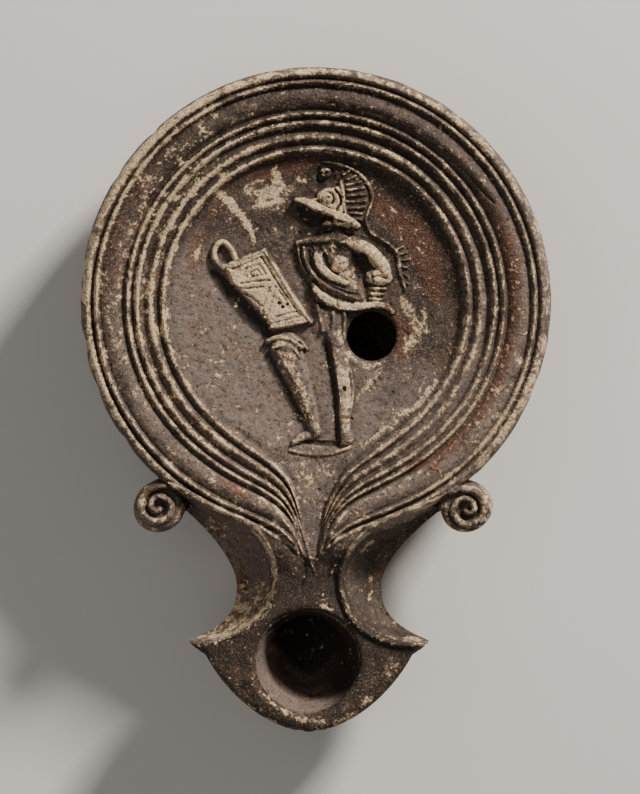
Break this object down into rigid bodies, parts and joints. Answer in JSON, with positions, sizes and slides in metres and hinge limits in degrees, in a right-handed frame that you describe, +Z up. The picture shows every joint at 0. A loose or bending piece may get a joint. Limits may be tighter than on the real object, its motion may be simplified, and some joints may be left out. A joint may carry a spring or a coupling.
{
  "type": "roman oil lamp",
  "caption": "Round closed clay oil lamp with a sunken disc that bears a standing gladiator in relief, a filling hole, scrolls beside the neck and an angular nozzle with a wick hole.",
  "frame": {"origin": "on the ground, in the middle of the lamp's length and width", "axes": "+Z up; the nozzle points along -Y, so +Y runs from the nozzle to the back of the body"},
  "size_m": [0.08, 0.1126, 0.0266],
  "materials": {
    "fired_clay": "matt fired clay with a worn brown-grey slip and pale deposits"
  },
  "bodies": {
    "root": {"lamp": "fired_clay"}
  },
  "joints": []
}
